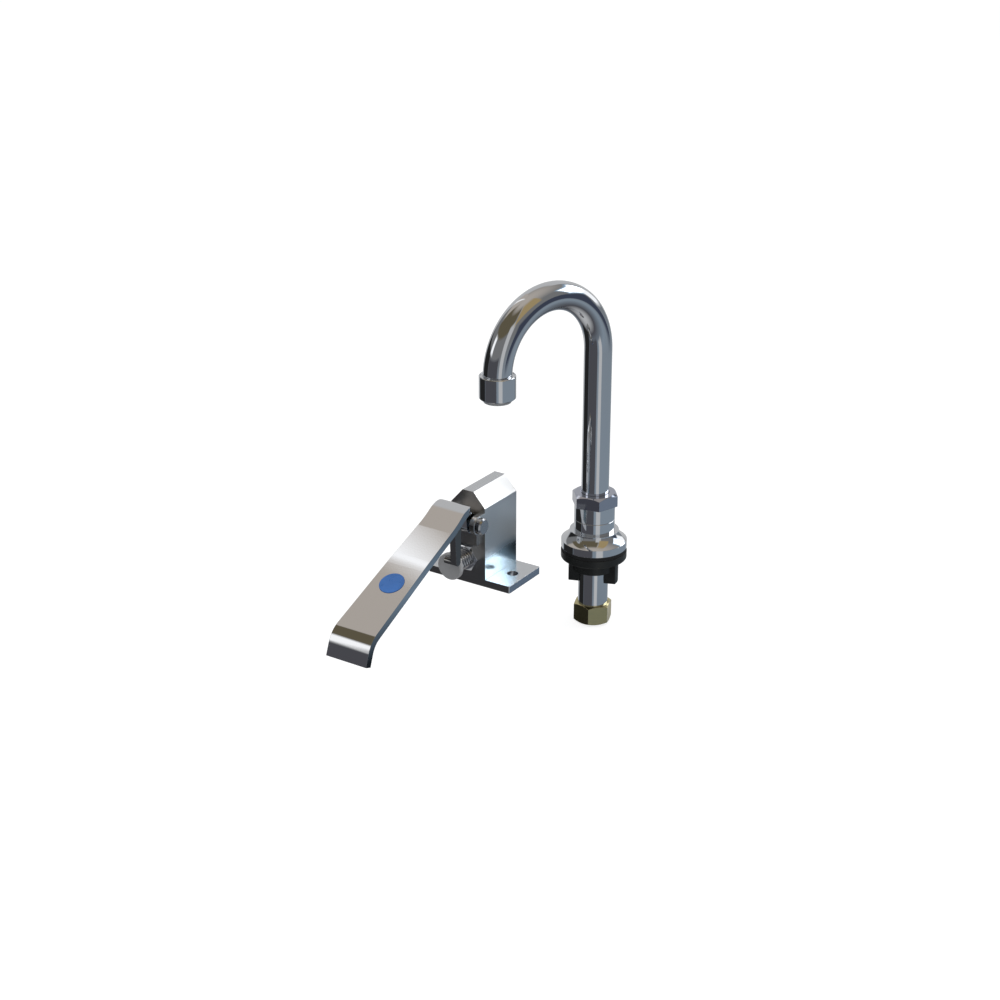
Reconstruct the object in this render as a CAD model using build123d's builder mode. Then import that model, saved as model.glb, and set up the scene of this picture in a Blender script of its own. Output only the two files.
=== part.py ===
from build123d import *
import os
from math import atan2, cos, pi, radians, sin, sqrt, tan

# Knee valve faucet: a gooseneck spout on a deck shank, and a self-closing
# knee valve with a strap pedal. Millimetres, +Z up, -Y to the front.
# The origin is the centre of the gasket's underside, where the deck comes.

# Clearances
THREAD_GAP = 0.05
RUNNING_GAP = 0.05
SEAT_GAP = 0.15
LOOSE_GAP = 0.3

# The number of a nut's sides, and the slope of its bevel in degrees
NUT_SIDES = 6
BEVEL_ANGLE = 30.0

# Gooseneck spout
tube_r = 9.525
tube_wall = 1.2
arc_r = 44.45
spout_height = 199.675
spout_turn = 15.5
tube_bottom_z = 28.5
collar_r = 11.6
collar_t = 2.2

# Aerator
outlet_stub = 8.0
outlet_adapter_r = 10.9
outlet_adapter_top = 1.1
aerator_r = 12.0
aerator_h = 15.6
aerator_proud = 1.5
aerator_chamfer = 0.8
aerator_top_chamfer = 0.4
aerator_lip_t = 1.0
aerator_lip_r = 9.3
aerator_washer_t = 1.5
insert_r = 10.75
insert_proud = 2.2
insert_rim = 1.8
insert_slot_l = 9.0
insert_slot_w = 0.9
insert_slot_pitch = 2.4
insert_slots = 5

# Spout coupling nut
nut_flats = 28.6
nut_h = 8.8
nut_bevel = 1.3
nut_vertex_angle = -49.0
nut_lip_t = 2.2
nut_thread_r = 12.3
nut_hole_gap = 0.3

# Deck stack, upwards from the deck
gasket_t = 3.0
gasket_r = 22.5
flange_h = 12.4
flange_r = 22.8
flange_rim_h = 5.1
flange_top_r = 17.0
flange_wall = 2.2
flange_step = 0.8
flange_dome = 0.7
body_r = 14.1
head_h = 8.2
adapter_h = 10.7
joint_chamfer = 0.25
spigot_r = 10.4
spigot_h = 6.2
water_r = 7.5
spout_washer_t = 1.4

# O-rings round the spout's tail and the stem
o_ring_wire_r = 0.9
o_ring_drop = 3.0

# Shank and its nuts
shank_r = 10.475
shank_bottom_z = -50.5
shank_chamfer = 0.8
locknut_r = 22.9
locknut_flange_t = 5.4
locknut_hub_r = 14.5
locknut_h = 14.3
locknut_wing_h = 23.0
locknut_wing_r = 17.4
locknut_wing_w = 12.0
locknut_wing_angle = 20.0
locknut_edge_r = 0.8
supply_nut_flats = 24.0
supply_nut_top_z = -39.8
supply_nut_h = 14.1
supply_nut_bevel = 0.9
supply_vertex_angle = -72.0
supply_hole_r = 6.6
supply_lip_t = 1.8
cone_washer_t = 1.6

# Valve body: base plate, housing and hinge ears
valve_x = -42.1
valve_front_y = -93.0
valve_depth = 38.0
plate_length = 64.8
plate_t = 5.0
plate_hole_r = 3.75
plate_hole_spacing = 45.6
plate_corner_r = 1.2
housing_w = 26.6
housing_h = 66.3
housing_top_w = 8.4
housing_slope_h = 10.2
housing_edge_r = 0.5
boss_w = 17.6
boss_proud = 3.0
boss_bottom_z = 29.6
boss_top_z = 40.0
boss_edge_r = 0.6

# Hinge, in front of the valve's front face
hinge_reach = 7.0
hinge_z = 47.0
ear_t = 3.7
ear_r = 6.25
pin_r = 2.5
pin_head_r = 5.7
pin_head_t = 4.2
pin_head_bevel = 1.0
pin_tail = 3.6
clip_t = 0.8
clip_groove = 0.8
clip_r = 4.6
clip_mouth_w = 2.8

# Waterway inside the valve body
stem_z = 20.0
outlet_z = 43.0
port_r = 7.45
port_depth = 11.0
passage_r = 2.6
chamber_r = 6.2
bonnet_thread_r = 7.0
bonnet_thread_l = 7.0
chamber_l = 5.5
seat_r = 6.5
seat_t = 4.0
seat_orifice_r = 4.1
seat_lip_w = 0.9
seat_lip_t = 0.5

# Bonnet, stem and return spring
bonnet_flats = 17.0
bonnet_hex_t = 5.0
bonnet_hex_bevel = 1.0
bonnet_collar_r = 4.6
bonnet_collar_t = 2.4
bonnet_gasket_t = 0.8
bonnet_gasket_r = 8.1
gland_t = 2.0
gland_from_end = 1.5
stem_r = 3.0
stem_spigot_r = 2.0
stem_washer_r = 5.4
stem_washer_t = 2.5
washer_screw_r = 1.5
washer_screw_l = 5.0
washer_screw_head_r = 3.4
washer_screw_head_t = 1.8
washer_screw_slot_w = 0.8
button_r = 9.25
button_t = 3.0
button_bevel = 0.7
button_reach = 22.5
button_face_t = 0.8
button_hub_r = 4.6
button_hub_l = 2.6
spring_wire_r = 0.65
spring_mean_r = 5.85
spring_turns = 5.5
arcs_per_turn = 4

# Knee pedal: the points are (y, z) from the hinge pin, on the strap's upper face
pedal_reach = 126.5
pedal_drop = 47.5
lip_l = 5.7
lip_h = 14.9
pedal_mid = (-60.0, -6.0)
pedal_rise = (-24.5, 8.6)
pedal_brow = (-14.5, 14.9)
pedal_crest = (-6.0, 16.2)
pedal_rear = (-2.0, 11.5)
pedal_lip_r = 18.0
pedal_mid_r = 400.0
pedal_rise_r = 60.0
pedal_brow_r = 20.0
pedal_crest_r = 6.5
pedal_t = 5.0
pedal_tip_w = 31.0
pedal_top_w = 24.6
pedal_corner_r = 9.0
knuckle_w = 16.0
knuckle_r = 6.25
neck_front_y = -8.0
neck_back_y = -2.5
leg_x = 5.0
leg_w = 4.5
leg_root_l = 8.0
nose_x = -0.5
nose_w = 10.0
nose_r = 2.4
nose_rise = 6.5
index_r = 8.25
index_y = -78.0
index_t = 0.8
index_proud = 0.3

# Heights and places that follow from the sizes above
spout_dir = Vector(-sin(radians(spout_turn)), -cos(radians(spout_turn)), 0)
outlet_xy = spout_dir * (2 * arc_r)
arc_centre_z = spout_height - arc_r - tube_r
flange_top_z = gasket_t + flange_h
head_top_z = flange_top_z + head_h
adapter_top_z = head_top_z + adapter_h
nut_top_z = adapter_top_z + nut_h
collar_z = nut_top_z - nut_lip_t - RUNNING_GAP - collar_t
spout_washer_z = collar_z - spout_washer_t
tube_bore_r = tube_r + RUNNING_GAP
o_ring_r = tube_bore_r + o_ring_wire_r
o_ring_z = adapter_top_z - o_ring_drop
aerator_z = arc_centre_z + aerator_proud - aerator_h
outlet_end_z = arc_centre_z - outlet_stub
insert_z = aerator_z + aerator_lip_t
insert_top_z = outlet_end_z - aerator_washer_t
supply_nut_z = supply_nut_top_z - supply_nut_h

valve_mid_y = valve_front_y + valve_depth / 2
valve_back_y = valve_front_y + valve_depth
port_floor_y = valve_back_y - port_depth
bonnet_end_y = valve_front_y + bonnet_thread_l
seat_y = bonnet_end_y + chamber_l
seat_face_y = seat_y + seat_t
washer_back_y = seat_face_y + stem_washer_t
hex_front_y = valve_front_y - bonnet_hex_t
collar_front_y = hex_front_y - bonnet_collar_t
gland_y = bonnet_end_y - gland_from_end - gland_t
button_front_y = valve_front_y - button_reach
button_back_y = button_front_y + button_t
hub_back_y = button_back_y + button_hub_l
hinge_y = valve_front_y - hinge_reach
ear_outer_x = housing_w / 2
ear_inner_x = ear_outer_x - ear_t

stem_axis = Axis((valve_x, 0, stem_z), (0, 1, 0))
stem_section = Plane(origin=(valve_x, 0, stem_z), x_dir=(0, 1, 0), z_dir=(1, 0, 0))
stem_level = Plane(origin=(valve_x, valve_front_y, stem_z), x_dir=(1, 0, 0), z_dir=(0, 0, -1))
pin_axis = Axis((0, hinge_y, hinge_z), (1, 0, 0))
pin_section = Plane(origin=(valve_x, hinge_y, hinge_z), x_dir=(1, 0, 0), z_dir=(0, -1, 0))


def outlet_plane(z):
    """A level plane on the outlet's axis, turned with the spout."""
    return Plane(origin=outlet_xy + Vector(0, 0, z), x_dir=spout_dir, z_dir=(0, 0, 1))


def spout_section(z):
    """A half section's plane on the shank's axis: its own y runs up from z."""
    return Plane(origin=(0, 0, z), x_dir=(1, 0, 0), z_dir=(0, -1, 0))


def side_plane(x):
    """A plane across X: its own x runs along +Y and its own y along +Z."""
    return Plane(origin=(valve_x + x, 0, 0), x_dir=(0, 1, 0), z_dir=(1, 0, 0))


def front_plane(y, z=0):
    """A plane on the valve's centre line, facing the front."""
    return Plane(origin=(valve_x, y, z), x_dir=(1, 0, 0), z_dir=(0, -1, 0))


def back_plane(y, z=0):
    """A plane on the valve's centre line, facing the back."""
    return Plane(origin=(valve_x, y, z), x_dir=(-1, 0, 0), z_dir=(0, 1, 0))


def pedal_plane(x):
    """A plane across X, with its origin on the hinge pin's axis."""
    return Plane(origin=(valve_x + x, hinge_y, hinge_z), x_dir=(0, 1, 0), z_dir=(1, 0, 0))


def ring(outer, inner):
    """A flat ring in the sketch that is open."""
    Circle(outer)
    Circle(inner, mode=Mode.SUBTRACT)


def outline(*points):
    """A closed face through the points, in the sketch that is open."""
    Polygon(*points, align=None)


def crown(flats, height, bevel, both=False):
    """The half section that turns a hexagon's corners down at its upper face, or at both."""
    face = (flats - bevel) / 2
    corner = flats / 2 / cos(pi / NUT_SIDES) + bevel
    rise = (corner - face) * tan(radians(BEVEL_ANGLE))
    low = [(face, 0), (corner, rise)] if both else [(corner, 0)]
    outline((0, 0), *low, (corner, height - rise), (face, height), (0, height))


def strap_point(a, b, y):
    """The height of the strap's upper face at y, on its run from a to b."""
    return a[1] + (y - a[0]) * (b[1] - a[1]) / (b[0] - a[0])


# Gooseneck spout: the swept tube, with the collar that the nut holds down
with BuildPart() as gooseneck:
    with BuildLine():
        foot = Vector(0, 0, tube_bottom_z)
        shoulder = Vector(0, 0, arc_centre_z)
        apex = spout_dir * arc_r + Vector(0, 0, arc_centre_z + arc_r)
        mouth = outlet_xy + Vector(0, 0, arc_centre_z)
        Line(foot, shoulder)
        ThreePointArc(shoulder, apex, mouth)
        Line(mouth, mouth - Vector(0, 0, outlet_stub))
    with BuildSketch(Plane.XY.offset(tube_bottom_z)):
        ring(tube_r, tube_r - tube_wall)
    sweep()
    with BuildSketch(Plane.XY.offset(collar_z)):
        ring(collar_r, tube_r - tube_wall / 2)
    extrude(amount=collar_t)

# Threaded adapter on the outlet, which carries the aerator
with BuildPart() as outlet_adapter:
    with BuildSketch(outlet_plane(outlet_end_z)):
        ring(outlet_adapter_r, tube_r + THREAD_GAP)
    extrude(amount=outlet_stub + outlet_adapter_top)

# Aerator housing, open above, with a narrow lip below
with BuildPart() as aerator_housing:
    with BuildSketch(outlet_plane(aerator_z)):
        Circle(aerator_r)
    extrude(amount=aerator_h)
    chamfer(aerator_housing.edges().group_by(Axis.Z)[0], aerator_chamfer)
    chamfer(aerator_housing.edges().group_by(Axis.Z)[-1], aerator_top_chamfer)
    with BuildSketch(outlet_plane(aerator_z)):
        Circle(aerator_lip_r)
    extrude(amount=aerator_lip_t, mode=Mode.SUBTRACT)
    with BuildSketch(outlet_plane(insert_z)):
        Circle(outlet_adapter_r + THREAD_GAP)
    extrude(amount=aerator_h, mode=Mode.SUBTRACT)

# Washer between the adapter and the insert
with BuildPart() as aerator_washer:
    with BuildSketch(outlet_plane(insert_top_z)):
        ring(insert_r, water_r)
    extrude(amount=aerator_washer_t)

# Insert: a slotted disc, whose rim shows below the housing
with BuildPart() as aerator_insert:
    with BuildSketch(outlet_plane(insert_z)):
        Circle(insert_r)
    extrude(amount=insert_top_z - insert_z)
    with BuildSketch(outlet_plane(aerator_z - insert_proud)):
        ring(aerator_lip_r - LOOSE_GAP, aerator_lip_r - insert_rim)
    extrude(amount=aerator_lip_t + insert_proud)
    with BuildSketch(outlet_plane(insert_z)):
        with GridLocations(0, insert_slot_pitch, 1, insert_slots):
            SlotOverall(insert_slot_l, insert_slot_w)
    extrude(amount=aerator_h, mode=Mode.SUBTRACT)

# Coupling nut: a crowned hexagon with a lip over the spout's collar
with BuildPart() as spout_nut:
    with BuildSketch(Plane.XY.offset(adapter_top_z)):
        RegularPolygon(nut_flats / 2, NUT_SIDES, major_radius=False, rotation=nut_vertex_angle)
    extrude(amount=nut_h)
    with BuildSketch(spout_section(adapter_top_z)):
        crown(nut_flats, nut_h, nut_bevel)
    revolve(axis=Axis.Z, mode=Mode.INTERSECT)
    with BuildSketch(Plane.XY.offset(adapter_top_z)):
        Circle(nut_thread_r)
    extrude(amount=nut_h - nut_lip_t, mode=Mode.SUBTRACT)
    with BuildSketch(Plane.XY.offset(adapter_top_z)):
        Circle(tube_r + nut_hole_gap)
    extrude(amount=nut_h, mode=Mode.SUBTRACT)

# Washer under the collar, on the adapter's nose
with BuildPart() as spout_washer:
    with BuildSketch(Plane.XY.offset(spout_washer_z)):
        ring(collar_r, tube_bore_r + LOOSE_GAP)
    extrude(amount=spout_washer_t)

# Spout adapter: screwed into the shank's head, it takes the spout's tail
with BuildPart() as spout_adapter:
    with BuildSketch(Plane.XZ):
        outline(
            (water_r, head_top_z - spigot_h),
            (spigot_r, head_top_z - spigot_h),
            (spigot_r, head_top_z),
            (body_r - joint_chamfer, head_top_z),
            (body_r, head_top_z + joint_chamfer),
            (body_r, adapter_top_z),
            (nut_thread_r - THREAD_GAP, adapter_top_z),
            (nut_thread_r - THREAD_GAP, spout_washer_z),
            (tube_bore_r, spout_washer_z),
            (tube_bore_r, tube_bottom_z - LOOSE_GAP),
            (water_r, tube_bottom_z - LOOSE_GAP),
        )
    revolve(axis=Axis.Z)
    groove_half = o_ring_wire_r + THREAD_GAP
    with BuildSketch(Plane.XZ):
        with Locations((tube_bore_r + groove_half, o_ring_z)):
            Rectangle(2 * groove_half, 2 * groove_half)
    revolve(axis=Axis.Z, mode=Mode.SUBTRACT)

# O-ring round the spout's tail
with BuildPart() as spout_o_ring:
    with BuildSketch(Plane.XZ):
        with Locations((o_ring_r, o_ring_z)):
            Circle(o_ring_wire_r)
    revolve(axis=Axis.Z)

# Shank: a round head on a long thread that goes down through the deck
with BuildPart() as shank:
    with BuildSketch(Plane.XZ):
        outline(
            (water_r, shank_bottom_z),
            (shank_r - shank_chamfer, shank_bottom_z),
            (shank_r, shank_bottom_z + shank_chamfer),
            (shank_r, flange_top_z),
            (body_r, flange_top_z),
            (body_r, head_top_z - joint_chamfer),
            (body_r - joint_chamfer, head_top_z),
            (spigot_r + THREAD_GAP, head_top_z),
            (spigot_r + THREAD_GAP, head_top_z - spigot_h),
            (water_r, head_top_z - spigot_h),
        )
    revolve(axis=Axis.Z)

# Deck flange: a bell with a stepped crown, hollow underneath
with BuildPart() as deck_flange:
    rim_top_z = gasket_t + flange_rim_h
    crown_low_z = flange_top_z - flange_wall
    step_low = (flange_top_r, flange_top_z - flange_step)
    rim_top = (flange_r, rim_top_z)
    with BuildSketch(Plane.XZ):
        with BuildLine():
            SagittaArc(rim_top, step_low, flange_dome)
            Polyline(
                step_low,
                (flange_top_r, flange_top_z),
                (shank_r + LOOSE_GAP, flange_top_z),
                (shank_r + LOOSE_GAP, crown_low_z),
                (flange_top_r - flange_wall, crown_low_z),
                (flange_r - flange_wall, rim_top_z - flange_wall / 2),
                (flange_r - flange_wall, gasket_t),
                (flange_r, gasket_t),
                rim_top,
            )
        make_face()
    revolve(axis=Axis.Z)

# Rubber gasket between the flange and the deck
with BuildPart() as deck_gasket:
    with BuildSketch(Plane.XY):
        ring(gasket_r, shank_r + LOOSE_GAP)
    extrude(amount=gasket_t)

# Locknut: a broad flange, a round hub and two wings to turn it by
with BuildPart() as locknut:
    with BuildSketch(Plane.XY):
        Circle(locknut_r)
    extrude(amount=-locknut_flange_t)
    fillet(locknut.edges().group_by(Axis.Z)[0], locknut_edge_r)
    with BuildSketch(Plane.XY):
        Circle(locknut_hub_r)
    extrude(amount=-locknut_h)
    with BuildSketch(Plane.XY):
        Circle(locknut_wing_r)
        Rectangle(
            2 * locknut_wing_r, locknut_wing_w, rotation=locknut_wing_angle, mode=Mode.INTERSECT
        )
    extrude(amount=-locknut_wing_h)
    with BuildSketch(Plane.XY):
        Circle(shank_r + THREAD_GAP)
    extrude(amount=-locknut_wing_h, mode=Mode.SUBTRACT)

# Supply coupling nut: a brass hexagon, with the hole that the supply tube enters
with BuildPart() as supply_nut:
    with BuildSketch(Plane.XY.offset(supply_nut_z)):
        RegularPolygon(supply_nut_flats / 2, NUT_SIDES, major_radius=False, rotation=supply_vertex_angle)
    extrude(amount=supply_nut_h)
    with BuildSketch(spout_section(supply_nut_z)):
        crown(supply_nut_flats, supply_nut_h, supply_nut_bevel, both=True)
    revolve(axis=Axis.Z, mode=Mode.INTERSECT)
    with BuildSketch(Plane.XY.offset(supply_nut_z + supply_lip_t)):
        Circle(shank_r + THREAD_GAP)
    extrude(amount=supply_nut_h, mode=Mode.SUBTRACT)
    with BuildSketch(Plane.XY.offset(supply_nut_z)):
        Circle(supply_hole_r)
    extrude(amount=supply_nut_h, mode=Mode.SUBTRACT)

# Washer inside the supply nut, under the shank's end
with BuildPart() as supply_washer:
    with BuildSketch(Plane.XY.offset(supply_nut_z + supply_lip_t)):
        ring(shank_r - LOOSE_GAP, supply_hole_r + LOOSE_GAP)
    extrude(amount=cone_washer_t)

# Valve body: base plate, housing, boss and hinge ears in one casting
with BuildPart() as valve_body:
    with BuildSketch(Plane.XY):
        with Locations((valve_x, valve_mid_y)):
            RectangleRounded(plate_length, valve_depth, plate_corner_r)
            with GridLocations(plate_hole_spacing, 0, 2, 1):
                Circle(plate_hole_r, mode=Mode.SUBTRACT)
    extrude(amount=plate_t)
    wall_top_z = housing_h - housing_slope_h
    with BuildSketch(front_plane(valve_back_y)):
        outline(
            (-ear_outer_x, 0),
            (-ear_outer_x, wall_top_z),
            (-housing_top_w / 2, housing_h),
            (housing_top_w / 2, housing_h),
            (ear_outer_x, wall_top_z),
            (ear_outer_x, 0),
        )
    extrude(amount=valve_depth)
    roof_edges = valve_body.edges().filter_by(Axis.Y).filter_by_position(Axis.Z, plate_t, housing_h)
    fillet(roof_edges.sort_by(Axis.Z)[-4:], housing_edge_r)
    boss_h = boss_top_z - boss_bottom_z
    with BuildSketch(front_plane(valve_front_y, boss_bottom_z + boss_h / 2)):
        RectangleRounded(boss_w, boss_h, boss_edge_r)
    extrude(amount=boss_proud)
    for ear_x in (-ear_outer_x, ear_inner_x):
        with BuildSketch(side_plane(ear_x)):
            with Locations((hinge_y, hinge_z)):
                Circle(ear_r)
            with Locations(((hinge_y + valve_front_y) / 2, hinge_z)):
                Rectangle(valve_front_y - hinge_y, 2 * ear_r)
            with Locations((hinge_y, hinge_z)):
                Circle(pin_r + THREAD_GAP, mode=Mode.SUBTRACT)
        extrude(amount=ear_t)
    with BuildSketch(stem_section):
        outline(
            (valve_front_y, 0),
            (valve_front_y, bonnet_gasket_r + THREAD_GAP),
            (valve_front_y + bonnet_gasket_t, bonnet_gasket_r + THREAD_GAP),
            (valve_front_y + bonnet_gasket_t, bonnet_thread_r + THREAD_GAP),
            (bonnet_end_y, bonnet_thread_r + THREAD_GAP),
            (bonnet_end_y, chamber_r),
            (seat_y, chamber_r),
            (seat_y, seat_r + THREAD_GAP),
            (port_floor_y, seat_r + THREAD_GAP),
            (port_floor_y, port_r),
            (valve_back_y, port_r),
            (valve_back_y, 0),
        )
    revolve(axis=stem_axis, mode=Mode.SUBTRACT)
    passage_y = bonnet_end_y + chamber_l / 2
    with BuildSketch(Plane.XY.offset(stem_z)):
        with Locations((valve_x, passage_y)):
            Circle(passage_r)
    extrude(amount=outlet_z + passage_r - stem_z, mode=Mode.SUBTRACT)
    with BuildSketch(back_plane(passage_y, outlet_z)):
        Circle(passage_r)
    extrude(amount=valve_back_y - passage_y, mode=Mode.SUBTRACT)
    with BuildSketch(back_plane(port_floor_y, outlet_z)):
        Circle(port_r)
    extrude(amount=port_depth, mode=Mode.SUBTRACT)

# Seat insert, screwed in from the inlet side, with a raised lip
with BuildPart() as seat_insert:
    with BuildSketch(stem_section):
        outline(
            (seat_y, seat_orifice_r),
            (seat_y, seat_r),
            (seat_face_y - seat_lip_t, seat_r),
            (seat_face_y - seat_lip_t, seat_orifice_r + seat_lip_w),
            (seat_face_y, seat_orifice_r + seat_lip_w),
            (seat_face_y, seat_orifice_r),
        )
    revolve(axis=stem_axis)

# Gasket under the bonnet's hexagon
with BuildPart() as bonnet_gasket:
    with BuildSketch(front_plane(valve_front_y + bonnet_gasket_t, stem_z)):
        ring(bonnet_gasket_r, bonnet_thread_r + THREAD_GAP)
    extrude(amount=bonnet_gasket_t)

# Bonnet: a hexagon with a thread behind and a collar in front for the spring
with BuildPart() as valve_bonnet:
    with BuildSketch(front_plane(valve_front_y, stem_z)):
        RegularPolygon(bonnet_flats / 2, NUT_SIDES, major_radius=False)
    extrude(amount=bonnet_hex_t)
    with BuildSketch(stem_level):
        crown(bonnet_flats, bonnet_hex_t, bonnet_hex_bevel)
    revolve(axis=stem_axis, mode=Mode.INTERSECT)
    bonnet_bore_r = stem_r + RUNNING_GAP
    gland_r = bonnet_bore_r + 2 * o_ring_wire_r + THREAD_GAP
    with BuildSketch(stem_section):
        outline(
            (collar_front_y, bonnet_bore_r),
            (collar_front_y, bonnet_collar_r),
            (hex_front_y, bonnet_collar_r),
            (hex_front_y, bonnet_thread_r),
            (bonnet_end_y, bonnet_thread_r),
            (bonnet_end_y, bonnet_bore_r),
        )
    revolve(axis=stem_axis)
    with BuildSketch(stem_section):
        outline(
            (collar_front_y, 0),
            (collar_front_y, bonnet_bore_r),
            (gland_y, bonnet_bore_r),
            (gland_y, gland_r),
            (gland_y + gland_t, gland_r),
            (gland_y + gland_t, bonnet_bore_r),
            (bonnet_end_y, bonnet_bore_r),
            (bonnet_end_y, 0),
        )
    revolve(axis=stem_axis, mode=Mode.SUBTRACT)

# O-ring in the bonnet's gland, round the stem
with BuildPart() as stem_o_ring:
    with BuildSketch(stem_section):
        with Locations((gland_y + gland_t / 2, bonnet_bore_r + o_ring_wire_r)):
            Circle(o_ring_wire_r)
    revolve(axis=stem_axis)

# Stem: it slides in the bonnet and carries the washer through the seat
screw_hole_r = washer_screw_r + THREAD_GAP
with BuildPart() as valve_stem:
    with BuildSketch(stem_section):
        outline(
            (button_front_y + button_face_t + THREAD_GAP, 0),
            (button_front_y + button_face_t + THREAD_GAP, stem_spigot_r),
            (hub_back_y, stem_spigot_r),
            (hub_back_y, stem_r),
            (seat_face_y, stem_r),
            (seat_face_y, screw_hole_r),
            (seat_face_y - washer_screw_l - THREAD_GAP, screw_hole_r),
            (seat_face_y - washer_screw_l - THREAD_GAP, 0),
        )
    revolve(axis=stem_axis)

# Rubber washer on the stem's inner end, which closes the seat
with BuildPart() as seat_washer:
    with BuildSketch(stem_section):
        outline(
            (seat_face_y, screw_hole_r),
            (seat_face_y, stem_washer_r),
            (washer_back_y, stem_washer_r),
            (washer_back_y, screw_hole_r),
        )
    revolve(axis=stem_axis)

# Slotted screw that holds the washer
with BuildPart() as washer_screw:
    head_back_y = washer_back_y + washer_screw_head_t
    with BuildSketch(stem_section):
        outline(
            (seat_face_y - washer_screw_l, 0),
            (seat_face_y - washer_screw_l, washer_screw_r),
            (washer_back_y, washer_screw_r),
            (washer_back_y, washer_screw_head_r),
            (head_back_y, washer_screw_head_r),
            (head_back_y, 0),
        )
    revolve(axis=stem_axis)
    with BuildSketch(back_plane(head_back_y, stem_z)):
        Rectangle(2 * washer_screw_head_r, washer_screw_slot_w)
    extrude(amount=-washer_screw_head_t / 2, mode=Mode.SUBTRACT)

# Button on the stem's front end, which the pedal's nose presses
with BuildPart() as stem_button:
    with BuildSketch(stem_section):
        outline(
            (button_front_y, 0),
            (button_front_y, button_r - button_bevel),
            (button_front_y + button_bevel, button_r),
            (button_back_y, button_r),
            (button_back_y, button_hub_r),
            (hub_back_y, button_hub_r),
            (hub_back_y, stem_spigot_r + THREAD_GAP),
            (button_front_y + button_face_t, stem_spigot_r + THREAD_GAP),
            (button_front_y + button_face_t, 0),
        )
    revolve(axis=stem_axis)


def coil_point(turn):
    """A point of the spring's centre line after so many turns from the hexagon."""
    angle = 2 * pi * turn
    y = spring_back_y - spring_rise * turn
    x = valve_x + spring_mean_r * cos(angle)
    return Vector(x, y, stem_z + spring_mean_r * sin(angle))


def coil_tangent(turn):
    """The direction of the spring's centre line there, on the way to the button."""
    angle = 2 * pi * turn
    around = 2 * pi * spring_mean_r
    return Vector(-around * sin(angle), -spring_rise, around * cos(angle)).normalized()


# Return spring: one wire, each part of a turn a pair of arcs that share their tangent
spring_back_y = hex_front_y - SEAT_GAP - spring_wire_r
spring_front_y = button_back_y + SEAT_GAP + spring_wire_r
spring_rise = (spring_back_y - spring_front_y) / spring_turns
arc_pairs = round(arcs_per_turn * spring_turns)
wire_d = 2 * spring_wire_r
with BuildPart() as return_spring:
    with BuildLine():
        start = coil_point(0)
        Line(start - coil_tangent(0) * wire_d, start)
        for pair in range(arc_pairs):
            turn, next_turn = pair / arcs_per_turn, (pair + 1) / arcs_per_turn
            p0, p1 = coil_point(turn), coil_point(next_turn)
            t0, t1 = coil_tangent(turn), coil_tangent(next_turn)
            chord = p1 - p0
            along = chord.dot(t0 + t1)
            spread = 2 * (1 - t0.dot(t1))
            reach = (sqrt(along**2 + spread * chord.dot(chord)) - along) / spread
            near, far = p0 + t0 * reach, p1 - t1 * reach
            joint = (near + far) / 2
            TangentArc(p0, joint, tangent=t0)
            TangentArc(joint, p1, tangent=far - near)
        end = coil_point(spring_turns)
        Line(end, end + coil_tangent(spring_turns) * wire_d)
    start_tangent = coil_tangent(0)
    with BuildSketch(Plane(origin=start - start_tangent * wire_d, z_dir=start_tangent)):
        Circle(spring_wire_r)
    sweep()
least_gap = spring_rise * cos(atan2(spring_rise, 2 * pi * spring_mean_r)) - wire_d
print(f"return spring: {spring_turns} turns, least gap {least_gap:.2f} mm")

# Hinge pin: a bevelled head on the right and a clip groove on the left
with BuildPart() as hinge_pin:
    head_x = ear_outer_x
    clip_x = -ear_outer_x - SEAT_GAP - clip_t
    tail_x = -ear_outer_x - pin_tail
    groove_r = pin_r - clip_groove
    with BuildSketch(pin_section):
        outline(
            (tail_x, 0),
            (tail_x, groove_r),
            (tail_x + clip_groove, pin_r),
            (clip_x, pin_r),
            (clip_x, groove_r),
            (clip_x + clip_t, groove_r),
            (clip_x + clip_t, pin_r),
            (head_x, pin_r),
            (head_x, pin_head_r),
            (head_x + pin_head_t - pin_head_bevel, pin_head_r),
            (head_x + pin_head_t, pin_head_r - pin_head_bevel),
            (head_x + pin_head_t, 0),
        )
    revolve(axis=pin_axis)

# Retaining clip: an open ring in the pin's groove, its mouth downwards
with BuildPart() as pin_clip:
    with BuildSketch(side_plane(clip_x)):
        with Locations((hinge_y, hinge_z)):
            ring(clip_r, groove_r + THREAD_GAP)
        with Locations((hinge_y, hinge_z - clip_r / 2)):
            Rectangle(clip_mouth_w, clip_r, mode=Mode.SUBTRACT)
    extrude(amount=clip_t)

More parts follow.
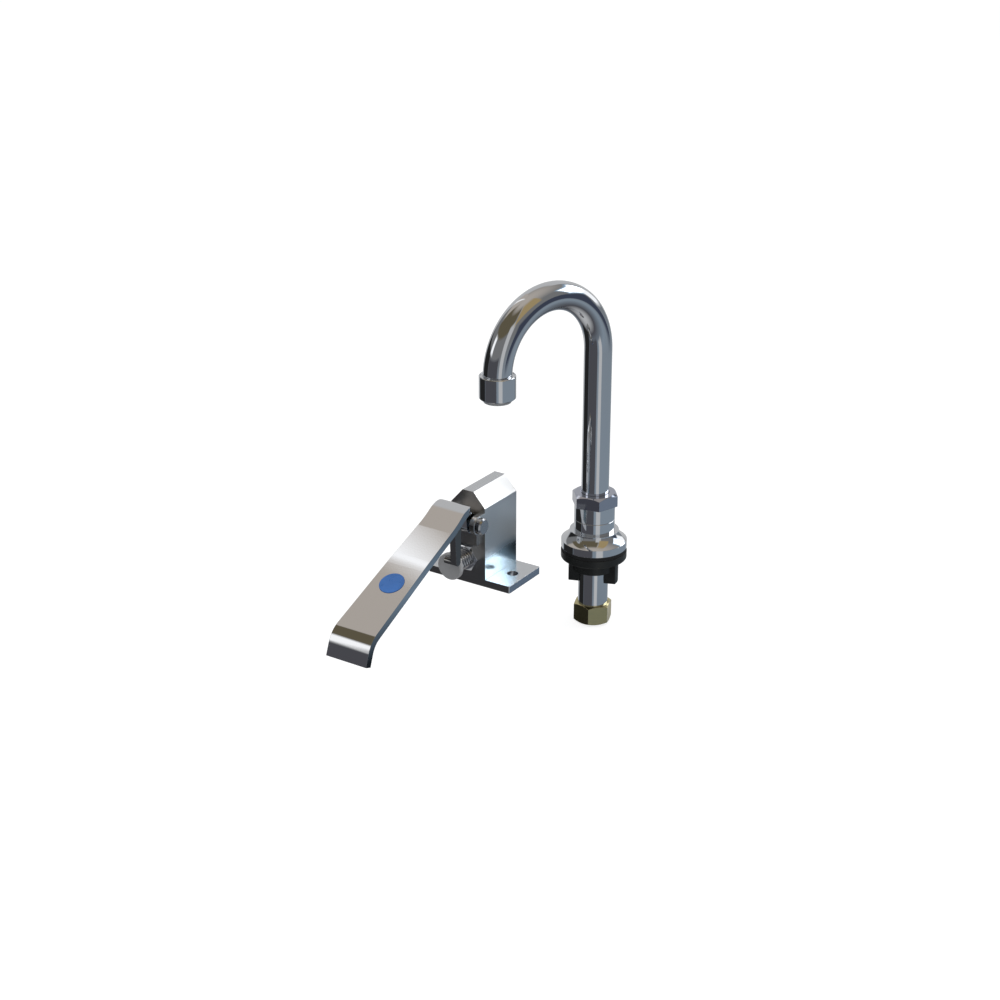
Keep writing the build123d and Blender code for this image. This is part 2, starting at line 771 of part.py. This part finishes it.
# Knee pedal: the bent strap, the knuckle on its neck, and the leg with its nose
with BuildPart() as knee_pedal:
    pedal_tip = (-pedal_reach, -pedal_drop)
    pedal_lip = (lip_l - pedal_reach, lip_h - pedal_drop)
    with BuildSketch(pedal_plane(-pedal_tip_w / 2)):
        with BuildLine():
            FilletPolyline(
                pedal_tip, pedal_lip, pedal_mid, pedal_rise, pedal_brow, pedal_crest, pedal_rear,
                radius=(pedal_lip_r, pedal_mid_r, pedal_rise_r, pedal_brow_r, pedal_crest_r),
            )
            offset(amount=pedal_t, side=Side.RIGHT)
        make_face()
    extrude(amount=pedal_tip_w)
    plan_front_y = -pedal_reach - pedal_t
    plan_h = pedal_drop + pedal_t + pedal_crest[1]
    with BuildSketch(Plane((valve_x, hinge_y, hinge_z - pedal_drop - pedal_t))) as plan:
        outline(
            (-pedal_tip_w / 2, plan_front_y),
            (pedal_tip_w / 2, plan_front_y),
            (pedal_top_w / 2, pedal_rear[0]),
            (-pedal_top_w / 2, pedal_rear[0]),
        )
        fillet(plan.vertices().sort_by(Axis.Y)[-2:], pedal_corner_r)
    extrude(amount=plan_h, mode=Mode.INTERSECT)
    with BuildSketch(pedal_plane(-knuckle_w / 2)):
        with BuildLine():
            Line(
                (neck_front_y, strap_point(pedal_brow, pedal_crest, neck_front_y) - pedal_t / 2),
                (neck_back_y, strap_point(pedal_crest, pedal_rear, neck_back_y) - pedal_t / 2),
            )
        Circle(knuckle_r)
        make_hull()
    extrude(amount=knuckle_w)
    with BuildSketch(pedal_plane(-knuckle_w / 2)):
        Circle(pin_r + RUNNING_GAP)
    extrude(amount=knuckle_w, mode=Mode.SUBTRACT)
    nose_y = button_front_y - LOOSE_GAP - nose_r - hinge_y
    nose_z = stem_z + nose_rise - hinge_z
    leg_front_y = nose_y - leg_root_l / 2
    leg_back_y = nose_y + leg_root_l / 2
    with BuildSketch(pedal_plane(leg_x)):
        with BuildLine():
            Line(
                (leg_front_y, strap_point(pedal_rise, pedal_brow, leg_front_y) - pedal_t / 2),
                (leg_back_y, strap_point(pedal_rise, pedal_brow, leg_back_y) - pedal_t / 2),
            )
        with Locations((nose_y, nose_z)):
            Circle(nose_r)
        make_hull()
    extrude(amount=leg_w)
    with BuildSketch(pedal_plane(nose_x)):
        with Locations((nose_y, nose_z)):
            Circle(nose_r)
    extrude(amount=nose_w)
    run_slope = atan2(pedal_mid[1] - pedal_lip[1], pedal_mid[0] - pedal_lip[0])
    index_plane = Plane(
        origin=(valve_x, hinge_y + index_y, hinge_z + strap_point(pedal_lip, pedal_mid, index_y)),
        x_dir=(1, 0, 0),
        z_dir=(0, -sin(run_slope), cos(run_slope)),
    )
    with BuildSketch(index_plane):
        Circle(index_r + THREAD_GAP)
    extrude(amount=index_proud - index_t, mode=Mode.SUBTRACT)

# Blue index disc, let into the strap
with BuildPart() as index_disc:
    with BuildSketch(index_plane.offset(index_proud - index_t)):
        Circle(index_r)
    extrude(amount=index_t)

pieces = {
    "gooseneck_spout": gooseneck,
    "outlet_adapter": outlet_adapter,
    "aerator_housing": aerator_housing,
    "aerator_washer": aerator_washer,
    "aerator_insert": aerator_insert,
    "spout_nut": spout_nut,
    "spout_washer": spout_washer,
    "spout_adapter": spout_adapter,
    "spout_o_ring": spout_o_ring,
    "shank": shank,
    "deck_flange": deck_flange,
    "deck_gasket": deck_gasket,
    "locknut": locknut,
    "supply_nut": supply_nut,
    "supply_washer": supply_washer,
    "valve_body": valve_body,
    "seat_insert": seat_insert,
    "bonnet_gasket": bonnet_gasket,
    "valve_bonnet": valve_bonnet,
    "stem_o_ring": stem_o_ring,
    "valve_stem": valve_stem,
    "seat_washer": seat_washer,
    "washer_screw": washer_screw,
    "stem_button": stem_button,
    "return_spring": return_spring,
    "hinge_pin": hinge_pin,
    "pin_clip": pin_clip,
    "knee_pedal": knee_pedal,
    "index_disc": index_disc,
}

os.makedirs("parts", exist_ok=True)
for name, piece in pieces.items():
    piece.part.label = name
    export_step(piece.part, f"parts/{name}.step")
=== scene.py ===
"""Knee valve faucet: its materials, spring wire, studio and camera around the CAD frame."""

import math

import bpy
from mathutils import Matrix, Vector


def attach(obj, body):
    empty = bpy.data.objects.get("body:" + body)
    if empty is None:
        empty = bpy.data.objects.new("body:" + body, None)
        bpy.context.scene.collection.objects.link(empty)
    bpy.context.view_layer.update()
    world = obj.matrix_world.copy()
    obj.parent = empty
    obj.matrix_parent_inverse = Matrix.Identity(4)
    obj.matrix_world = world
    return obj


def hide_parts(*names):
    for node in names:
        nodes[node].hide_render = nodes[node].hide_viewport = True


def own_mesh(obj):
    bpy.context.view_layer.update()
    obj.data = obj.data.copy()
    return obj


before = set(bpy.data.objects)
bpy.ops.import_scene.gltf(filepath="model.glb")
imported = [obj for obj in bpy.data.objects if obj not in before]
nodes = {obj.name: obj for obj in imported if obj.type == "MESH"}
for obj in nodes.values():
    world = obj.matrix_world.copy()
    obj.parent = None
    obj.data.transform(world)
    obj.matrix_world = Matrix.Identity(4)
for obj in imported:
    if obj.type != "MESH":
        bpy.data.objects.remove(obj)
scene = bpy.context.scene
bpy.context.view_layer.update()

# Places and sizes, in metres
VALVE_X = -0.0421
STEM_Z = 0.020
HEX_FRONT_Y = -0.098
BUTTON_BACK_Y = -0.1125
WIRE_R = 0.00065
COIL_R = 0.00585
COIL_TURNS = 5.5
SEAT_GAP = 0.00015
PLATE_TOP_Z = 0.005
LEG_BACK_Y = -0.1114
LEG_FRONT_Y = -0.1232
LEG_TOP_Z = 0.0512
FLOOR_Z = -0.0546

# The surface of every material
CLOUD_LOW = 0.3
CLOUD_HIGH = 0.7
CLOUD_DETAIL = 4.0
FINE_DETAIL = 2.0
FINER = 22
MOULDED_MOTTLE = 90.0
MOULDED_EDGE = 0.0003
WORN = 0.78


def tree_of(name):
    """A new node material: the material, its tree and its principled shader."""
    mat = bpy.data.materials.new(name)
    mat.use_nodes = True
    tree = mat.node_tree
    return mat, tree, tree.nodes["Principled BSDF"]


def put(tree, kind, links=None, **values):
    """One shader node: values go to its settings or else its sockets, links to its inputs."""
    made = tree.nodes.new(kind)
    for key, value in values.items():
        if hasattr(made, key):
            setattr(made, key, value)
        else:
            made.inputs[key.replace("_", " ")].default_value = value
    for key, source in (links or {}).items():
        tree.links.new(source, made.inputs[key])
    return made


def object_place(tree):
    """The place on the piece, in its own coordinates."""
    return put(tree, "ShaderNodeTexCoord").outputs["Object"]


def facing_of(tree):
    """The X, Y and Z of the way that the surface faces."""
    return parted(tree, put(tree, "ShaderNodeNewGeometry").outputs["Normal"])


def parted(tree, vector):
    """The vector's X, Y and Z."""
    return put(tree, "ShaderNodeSeparateXYZ", {0: vector}).outputs


def maths(tree, operation, one, other=None):
    """One step of arithmetic on one or two values."""
    links = {0: one} if other is None else {0: one, 1: other}
    return put(tree, "ShaderNodeMath", links, operation=operation).outputs[0]


def lesser(tree, one, other):
    """The lower of two values, which is where two masks meet."""
    return maths(tree, "MINIMUM", one, other)


def greater(tree, one, other):
    """The higher of two values."""
    return maths(tree, "MAXIMUM", one, other)


def times(tree, value, factor):
    """The value times a plain number."""
    made = put(tree, "ShaderNodeMath", {0: value}, operation="MULTIPLY")
    made.inputs[1].default_value = factor
    return made.outputs[0]


def ranged(tree, value, **ends):
    """The value mapped from one range to another, and kept inside it."""
    return put(tree, "ShaderNodeMapRange", {"Value": value}, **ends).outputs["Result"]


def between(tree, value, low, high, soft):
    """1 where the value lies between low and high, with edges that are so soft."""
    enter = ranged(tree, value, From_Min=low - soft, From_Max=low)
    leave = ranged(tree, value, From_Min=high, From_Max=high + soft, To_Min=1.0, To_Max=0.0)
    return lesser(tree, enter, leave)


def above(tree, value, low, soft):
    """1 where the value is over low; no value here reaches 2."""
    return between(tree, value, low, 2.0, soft)


def below(tree, value, high, soft):
    """1 where the value is under high; no value here reaches -2."""
    return between(tree, value, -2.0, high, soft)


def ramp(tree, source, stops):
    """A colour ramp through (position, colour) stops."""
    made = tree.nodes.new("ShaderNodeValToRGB")
    cells = made.color_ramp.elements
    while len(cells) < len(stops):
        cells.new(0.5)
    for cell, (place, shade) in zip(cells, stops):
        cell.position = place
        cell.color = (*shade, 1)
    tree.links.new(source, made.inputs["Fac"])
    return made.outputs["Color"]


def noise(tree, where, scale, detail):
    """A grey cloud over the surface."""
    made = put(tree, "ShaderNodeTexNoise", {"Vector": where}, Scale=scale, Detail=detail, Roughness=0.5)
    return made.outputs["Fac"]


def drifting(tree, shader, cloud, low, high):
    """Roughness that drifts with the cloud between low and high."""
    rough = ranged(tree, cloud, From_Min=CLOUD_LOW, From_Max=CLOUD_HIGH, To_Min=low, To_Max=high)
    tree.links.new(rough, shader.inputs["Roughness"])


def bumped(tree, shader, height, distance, edge):
    """Bump on the shader, over edges rounded by so many metres."""
    bump = put(tree, "ShaderNodeBump", {"Height": height}, Strength=1.0, Distance=distance)
    if edge:
        soft = put(tree, "ShaderNodeBevel", samples=6, Radius=edge)
        tree.links.new(soft.outputs["Normal"], bump.inputs["Normal"])
    tree.links.new(bump.outputs["Normal"], shader.inputs["Normal"])


def metal(name, colour, low, high, edge=0.00025, wave=0.000004, mottle=60.0):
    """Plated or bare metal: its roughness drifts between low and high, on a faintly uneven face."""
    mat, tree, shader = tree_of(name)
    shader.inputs["Metallic"].default_value = 1.0
    shader.inputs["Base Color"].default_value = (*colour, 1)
    where = object_place(tree)
    drifting(tree, shader, noise(tree, where, mottle, CLOUD_DETAIL), low, high)
    bumped(tree, shader, noise(tree, where, mottle * FINER, FINE_DETAIL), wave, edge)
    return mat


def moulded(name, colour, low, high, grain=900.0, depth=0.00002, coat=0.0):
    """Plastic or rubber, with a fine moulded grain and a little wear in its shade."""
    mat, tree, shader = tree_of(name)
    where = object_place(tree)
    cloud = noise(tree, where, MOULDED_MOTTLE, CLOUD_DETAIL)
    darker = tuple(WORN * part for part in colour)
    tree.links.new(ramp(tree, cloud, [(0.35, darker), (0.65, colour)]), shader.inputs["Base Color"])
    drifting(tree, shader, cloud, low, high)
    shader.inputs["Coat Weight"].default_value = coat
    bumped(tree, shader, noise(tree, where, grain, FINE_DETAIL), depth, MOULDED_EDGE)
    return mat


# Materials
CHROME = (0.74, 0.76, 0.79)
chrome = metal("polished_chrome", CHROME, 0.010, 0.032)
hex_chrome = metal("hexagon_chrome", (0.50, 0.52, 0.60), 0.03, 0.06)
strap = metal("strap_chrome", (0.75, 0.76, 0.78), 0.022, 0.045, mottle=45.0, wave=0.000003)
cast = metal("cast_chrome", CHROME, 0.20, 0.25, mottle=50.0, wave=0.000006, edge=0.0004)
pin_steel = metal("pin_steel", (0.42, 0.44, 0.47), 0.10, 0.16, mottle=150.0)
face_grey = metal("turned_face", (0.62, 0.62, 0.62), 0.46, 0.54, mottle=80.0)
face_grey.node_tree.nodes["Principled BSDF"].inputs["Metallic"].default_value = 0.3
brass = metal("bare_brass", (0.60, 0.53, 0.29), 0.16, 0.26, wave=0.000008, mottle=120.0)
steel = metal("stainless_steel", (0.60, 0.60, 0.61), 0.12, 0.22, mottle=200.0, edge=0.0)
rubber = moulded("black_rubber", (0.020, 0.020, 0.021), 0.55, 0.72)
black = moulded("black_plastic", (0.020, 0.022, 0.021), 0.34, 0.46, grain=1400.0, depth=0.00001)
grey = moulded("grey_plastic", (0.55, 0.56, 0.57), 0.35, 0.5)
blue = moulded("blue_plastic", (0.04, 0.19, 0.58), 0.22, 0.34, grain=1800.0, depth=0.000004, coat=0.15)
fibre = moulded("fibre", (0.36, 0.12, 0.09), 0.7, 0.85, grain=2500.0)


def shaded(mat, mask, colour):
    """Mixes the colour, plain or from a node, into the shader's base where the mask is 1."""
    tree = mat.node_tree
    socket = tree.nodes["Principled BSDF"].inputs["Base Color"]
    mix = put(tree, "ShaderNodeMix", {0: mask}, data_type="RGBA")
    if socket.links:
        tree.links.new(socket.links[0].from_socket, mix.inputs[6])
    else:
        mix.inputs[6].default_value = socket.default_value
    if isinstance(colour, tuple):
        mix.inputs[7].default_value = (*colour, 1)
    else:
        tree.links.new(colour, mix.inputs[7])
    tree.links.new(mix.outputs[2], socket)


def dulled(mat, mask, value):
    """Sets the shader's roughness where the mask is 1."""
    tree = mat.node_tree
    rough = tree.nodes["Principled BSDF"].inputs["Roughness"]
    mix = put(tree, "ShaderNodeMix", {0: mask, 2: rough.links[0].from_socket}, data_type="FLOAT")
    mix.inputs[3].default_value = value
    tree.links.new(mix.outputs[0], rough)


# How squarely a face looks along an axis to count as facing that way, and how softly
FACING = 0.92
FACING_SOFT = 0.04

# Painted reflection and shade on the strap's side edges: their tones by height, from its lip at 0 to its
# crest at 1
EDGE_LOW_Z = -0.005
EDGE_HIGH_Z = 0.065
EDGE_PAINTED_REFLECTION_TONES = [(0.1, 0.03), (0.5, 0.65), (0.8, 0.35)]
EDGE_PAINTED_REFLECTION_TINT = (0.85, 1.0, 1.15)
# Painted shade on the strap's leg: dark all round, less dark on its front face
LEG_PAINTED_SHADE = (0.15, 0.15, 0.15)
LEG_FRONT_PAINTED_SHADE = (0.36, 0.36, 0.35)

# The bend before the crest: where its shading is eased in and out, and by what angle
EASE_START_Y = -0.1314
EASE_FULL_Y = -0.1201
EASE_FADE_Y = -0.118
EASE_END_Y = -0.1104
EASED_ANGLE = -0.195


def strap_painted_light_and_eased_bend(mat):
    """Painted reflection and shade on the strap's side edges, painted shade on its leg, and the eased bend
    before its crest.
    """
    tree = mat.node_tree
    place = parted(tree, object_place(tree))
    facing = facing_of(tree)
    height = ranged(tree, place["Z"], From_Min=EDGE_LOW_Z, From_Max=EDGE_HIGH_Z)
    edges = ramp(tree, height, [(at, tuple(tone * tint for tint in EDGE_PAINTED_REFLECTION_TINT)) for at, tone in EDGE_PAINTED_REFLECTION_TONES])
    # Painted reflection and shade on the side edges: a bluish tone that changes with height
    shaded(mat, above(tree, maths(tree, "ABSOLUTE", facing["X"]), FACING, FACING_SOFT), edges)

    along = between(tree, place["Y"], LEG_FRONT_Y, LEG_BACK_Y, 0.0006)
    leg = lesser(tree, along, below(tree, place["Z"], LEG_TOP_Z, 0.0008))
    # Painted shade: the leg darkened, and its front face less dark
    shaded(mat, leg, LEG_PAINTED_SHADE)
    shaded(mat, lesser(tree, leg, below(tree, facing["Y"], -0.9, 0.05)), LEG_FRONT_PAINTED_SHADE)

    rise = ranged(tree, place["Y"], From_Min=EASE_START_Y, From_Max=EASE_FULL_Y)
    fall = ranged(tree, place["Y"], From_Min=EASE_END_Y, From_Max=EASE_FADE_Y)
    angle = times(tree, lesser(tree, rise, fall), EASED_ANGLE)
    bump = tree.nodes["Bump"]
    source = bump.inputs["Normal"].links[0].from_socket
    links = {"Vector": source, "Angle": angle}
    turned = put(tree, "ShaderNodeVectorRotate", links, rotation_type="X_AXIS")
    tree.links.new(turned.outputs[0], bump.inputs["Normal"])


# The valve body: its painted light (a darker front, a glow low on the side as of light off the base plate,
# shade on the plate's side, a highlight on the slope, a reflection high on the side), and the height to which
# that painted glow reaches
FRONT_PAINTED_SHADE = (0.37, 0.365, 0.36)
LOW_SIDE_PAINTED_GLOW = (0.58, 0.76, 0.88)
RIM_PAINTED_SHADE = (0.42, 0.48, 0.58)
SLOPE_PAINTED_HIGHLIGHT = (0.90, 0.91, 0.92)
HIGH_SIDE_PAINTED_REFLECTION = (0.86, 0.92, 0.96)
TINT_TOP_Z = 0.026
HIGH_SIDE_ROUGH = 0.42
SLOPE_ROUGH = 0.34
FRONT_ROUGH = 0.38


def body_painted_light_and_roughness(mat):
    """Painted light on the valve body, with roughness on its front, slope and upper side: a darker front, a
    glow low on the side, shade on the plate's side, a highlight on the slope and a reflection high on the
    side.
    """
    tree = mat.node_tree
    height = parted(tree, object_place(tree))["Z"]
    facing = facing_of(tree)
    front = below(tree, facing["Y"], -FACING, FACING_SOFT)
    side = above(tree, facing["X"], FACING, FACING_SOFT)
    slope = between(tree, facing["Z"], 0.3, 0.9, FACING_SOFT)
    low_side = lesser(tree, side, between(tree, height, PLATE_TOP_Z + 0.0006, TINT_TOP_Z, 0.010))
    rim = lesser(tree, side, below(tree, height, PLATE_TOP_Z, 0.0001))
    high_side = lesser(tree, side, above(tree, height, TINT_TOP_Z, 0.008))
    # Painted shade: the front darker
    shaded(mat, front, FRONT_PAINTED_SHADE)
    # Painted glow low on the side, as of light off the base plate
    shaded(mat, low_side, LOW_SIDE_PAINTED_GLOW)
    # Painted shade: the base plate's side darker and bluer
    shaded(mat, rim, RIM_PAINTED_SHADE)
    # Painted highlight: the sloping faces near white
    shaded(mat, slope, SLOPE_PAINTED_HIGHLIGHT)
    # Painted reflection: a pale blue high on the side
    shaded(mat, high_side, HIGH_SIDE_PAINTED_REFLECTION)
    dulled(mat, high_side, HIGH_SIDE_ROUGH)
    dulled(mat, slope, SLOPE_ROUGH)
    dulled(mat, front, FRONT_ROUGH)


strap_painted_light_and_eased_bend(strap)
body_painted_light_and_roughness(cast)

finish_of = {
    hex_chrome: "spout_nut",
    chrome: "gooseneck_spout outlet_adapter aerator_housing spout_adapter shank deck_flange valve_bonnet",
    pin_steel: "hinge_pin",
    cast: "valve_body",
    strap: "knee_pedal",
    face_grey: "stem_button",
    brass: "supply_nut seat_insert",
    steel: "valve_stem washer_screw return_spring pin_clip",
    rubber: "aerator_washer spout_o_ring deck_gasket supply_washer stem_o_ring seat_washer",
    black: "locknut",
    grey: "aerator_insert",
    blue: "index_disc",
    fibre: "spout_washer bonnet_gasket",
}
for mat, names in finish_of.items():
    for name in names.split():
        slots = nodes[name].data.materials
        slots.clear()
        slots.append(mat)


# Return spring
STEPS_PER_TURN = 40
WIRE_SIDES = 14


def spring():
    """The spring's wire: a round tube on a helix from the bonnet to the button, closed at its ends."""
    count = int(COIL_TURNS * STEPS_PER_TURN)
    back = HEX_FRONT_Y - SEAT_GAP - WIRE_R
    front = BUTTON_BACK_Y + SEAT_GAP + WIRE_R
    pitch = (front - back) / COIL_TURNS
    round_once = 2 * math.pi * COIL_R
    verts = []
    for step in range(count + 1):
        angle = 2 * math.pi * step / STEPS_PER_TURN
        out = Vector((math.cos(angle), 0, math.sin(angle)))
        run = Vector((-math.sin(angle) * round_once, pitch, math.cos(angle) * round_once))
        side = run.normalized().cross(out).normalized()
        centre = Vector((VALVE_X, back + (front - back) * step / count, STEM_Z)) + out * COIL_R
        for corner in range(WIRE_SIDES):
            turn = 2 * math.pi * corner / WIRE_SIDES
            verts.append(centre + (out * math.cos(turn) + side * math.sin(turn)) * WIRE_R)
    faces = []
    for step in range(count):
        here, there = step * WIRE_SIDES, (step + 1) * WIRE_SIDES
        for one in range(WIRE_SIDES):
            two = (one + 1) % WIRE_SIDES
            faces.append((here + two, there + two, there + one, here + one))
    faces.append(tuple(reversed(range(WIRE_SIDES))))
    faces.append(tuple(range(count * WIRE_SIDES, (count + 1) * WIRE_SIDES)))
    mesh = bpy.data.meshes.new("spring_wire")
    mesh.from_pydata(verts, [], faces)
    mesh.shade_smooth()
    made = bpy.data.objects.new("spring_wire", mesh)
    scene.collection.objects.link(made)
    made.data.materials.append(steel)
    return made


# Pressed in, the wire keeps 9.0 mm of the 14.2 mm that it has at rest.
wire = spring()
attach(wire, "deck_and_valve_body")
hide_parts("return_spring")
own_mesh(wire)


# Floor and world: both are seen as white, and light the scene more dimly than that
FLOOR_HALF = 6.0
FLOOR_GREY = 0.42
FLOOR_GLOW = 0.80


def seen_directly(tree, kinds):
    """1 for light paths of any of these kinds."""
    rays = put(tree, "ShaderNodeLightPath")
    seen = rays.outputs[kinds[0]]
    for kind in kinds[1:]:
        seen = greater(tree, seen, rays.outputs[kind])
    return seen


def pale_floor():
    """A level square under the lowest piece."""
    half = FLOOR_HALF
    corners = [(-half, -half, FLOOR_Z), (half, -half, FLOOR_Z), (half, half, FLOOR_Z), (-half, half, FLOOR_Z)]
    mesh = bpy.data.meshes.new("floor")
    mesh.from_pydata(corners, [], [(0, 1, 2, 3)])
    made = bpy.data.objects.new("floor", mesh)
    scene.collection.objects.link(made)
    mat, tree, shader = tree_of("pale_floor")
    shader.inputs["Base Color"].default_value = (FLOOR_GREY, FLOOR_GREY, FLOOR_GREY, 1)
    shader.inputs["Roughness"].default_value = 0.9
    shader.inputs["Specular IOR Level"].default_value = 0.0
    shader.inputs["Emission Color"].default_value = (1, 1, 1, 1)
    seen = seen_directly(tree, ("Is Camera Ray", "Is Transmission Ray"))
    tree.links.new(times(tree, seen, FLOOR_GLOW), shader.inputs["Emission Strength"])
    mesh.materials.append(mat)
    made.visible_glossy = False
    return made


def white_world():
    """A world that lights dimly and is seen as white."""
    world = bpy.data.worlds.new("studio")
    scene.world = world
    world.use_nodes = True
    tree = world.node_tree
    tree.nodes.clear()
    plain = put(tree, "ShaderNodeBackground", Color=(0.95, 0.97, 1.0, 1), Strength=0.55)
    white = put(tree, "ShaderNodeBackground", Color=(1, 1, 1, 1), Strength=1.0)
    seen = seen_directly(tree, ("Is Camera Ray", "Is Glossy Ray", "Is Transmission Ray"))
    mix = put(tree, "ShaderNodeMixShader", {0: seen, 1: plain.outputs[0], 2: white.outputs[0]})
    put(tree, "ShaderNodeOutputWorld", {"Surface": mix.outputs[0]})


pale_floor()
white_world()

# The studio's tones, as plain light levels: red, green and blue
BLACK = (0.02, 0.02, 0.02)
DARK = (0.08, 0.08, 0.09)
NIGHT = (0.05, 0.06, 0.09)
BROWN = (0.13, 0.11, 0.07)
GREY = (0.20, 0.20, 0.20)
BLUE = (0.25, 0.30, 0.35)
GOLD = (0.40, 0.30, 0.15)
LIGHT = (0.55, 0.55, 0.55)
WARM = (0.50, 0.45, 0.40)
SKY = (0.40, 0.60, 0.80)
WHITE = (1.2, 1.2, 1.2)
SOFT_BOX = (3.5, 3.5, 3.5)

# The bare wall, from the floor at -1 to the ceiling at 1
WALL = [(-1.0, LIGHT), (-0.8, DARK), (-0.4, BLUE), (0.2, GREY), (0.6, GREY), (1.0, WARM)]

# Each card: where it starts and ends around the object, in degrees from the front, where it starts
# and ends in height, as the sine of the elevation, and its tone. A later card covers an earlier one.
CARDS = {
    "left_wall": (-180, -108, -0.45, 0.75, LIGHT),
    "dark_flag": (-100, -50, -0.80, 0.20, BLACK),
    "front_wall": (-45, 25, -0.60, 0.10, DARK),
    "brown_front": (-75, 50, 0.60, 0.90, BROWN),
    "light_strip": (42, 62, -0.50, 0.60, LIGHT),
    "night_strip": (85, 140, -0.20, 0.20, NIGHT),
    "small_window": (-50, -35, 0.25, 0.50, WHITE),
    "warm_ceiling": (-125, -80, 0.70, 0.90, WARM),
    "light_bar": (-110, -109, 0.70, 0.90, WHITE),
    "gold_card": (60, 100, 0.55, 0.90, GOLD),
    "sky_edge": (128, 172, 0.30, 0.60, SKY),
    "soft_box": (130, 170, 0.35, 0.55, SOFT_BOX),
    "back_card": (150, 175, 0.10, 0.30, WHITE),
}
TURN_SOFT = 4
RISE_SOFT = 0.08

SHELL_CENTRE = (-0.03, -0.08, 0.06)
SHELL_RADIUS = 3.0


def studio_walls():
    """The studio as the metal sees it: a far shell that only reflections meet."""
    bpy.ops.mesh.primitive_uv_sphere_add(
        segments=48, ring_count=24, radius=SHELL_RADIUS, location=SHELL_CENTRE
    )
    made = bpy.context.object
    made.name = "studio_walls"
    mat, tree, shader = tree_of("studio_walls")
    tree.nodes.remove(shader)
    away = put(tree, "ShaderNodeVectorMath", {0: object_place(tree)}, operation="NORMALIZE").outputs[0]
    axes = parted(tree, away)
    angle = maths(tree, "ARCTAN2", axes["X"], times(tree, axes["Y"], -1.0))
    turn = maths(tree, "DEGREES", angle)
    rise = ranged(tree, axes["Z"], From_Min=-1.0, From_Max=1.0)
    colour = ramp(tree, rise, [((sine + 1) / 2, tone) for sine, tone in WALL])
    for start, end, low, high, tone in CARDS.values():
        around = between(tree, turn, start, end, TURN_SOFT)
        mask = lesser(tree, around, between(tree, axes["Z"], low, high, RISE_SOFT))
        mix = put(tree, "ShaderNodeMix", {0: mask, 6: colour}, data_type="RGBA")
        mix.inputs[7].default_value = (*tone, 1)
        colour = mix.outputs[2]
    glow = put(tree, "ShaderNodeEmission", {"Color": colour}, Strength=1.0)
    tree.links.new(glow.outputs[0], tree.nodes["Material Output"].inputs["Surface"])
    made.data.materials.append(mat)
    made.data.shade_smooth()
    made.visible_camera = False
    made.visible_diffuse = False
    made.visible_shadow = False
    made.visible_transmission = False
    return made


studio_walls()

# Lamps
LAMP_TARGET = Vector((-0.03, -0.09, 0.06))


def lamp(name, azimuth, elevation, distance, wide, high, level):
    """A soft box that faces the object; level is how bright its face looks."""
    turn, tilt = math.radians(azimuth), math.radians(elevation)
    away = Vector((math.sin(turn) * math.cos(tilt), -math.cos(turn) * math.cos(tilt), math.sin(tilt)))
    data = bpy.data.lights.new(name, "AREA")
    data.shape = "RECTANGLE"
    data.size = wide
    data.size_y = high
    data.energy = level * math.pi * wide * high
    made = bpy.data.objects.new(name, data)
    made.location = LAMP_TARGET + away * distance
    made.rotation_euler = (-away).to_track_quat("-Z", "Y").to_euler()
    made.visible_glossy = False
    scene.collection.objects.link(made)


lamp("key_lamp", azimuth=152, elevation=42, distance=1.9, wide=1.3, high=0.9, level=1.6)
lamp("fill_lamp", azimuth=-60, elevation=48, distance=2.0, wide=1.4, high=0.8, level=1.1)
lamp("top_lamp", azimuth=30, elevation=80, distance=2.2, wide=1.2, high=1.0, level=1.2)

# Camera, as it was fitted to the photograph
CAMERA_PLACE = (0.5722, -0.9933, 0.5181)
LOOK_DOWN = 22.819
LOOK_LEFT = 33.205
SENSOR_WIDTH = 36
FOCAL_PIXELS = 1806.5
FRAME_PIXELS = 1000
lens = bpy.data.cameras.new("camera")
lens.sensor_width = SENSOR_WIDTH
lens.lens = SENSOR_WIDTH * FOCAL_PIXELS / FRAME_PIXELS
lens.clip_start = 0.05
lens.clip_end = 50
camera = bpy.data.objects.new("camera", lens)
camera.location = CAMERA_PLACE
camera.rotation_euler = (math.radians(90 - LOOK_DOWN), 0, math.radians(LOOK_LEFT))
scene.collection.objects.link(camera)
scene.camera = camera

scene.view_settings.view_transform = "Standard"
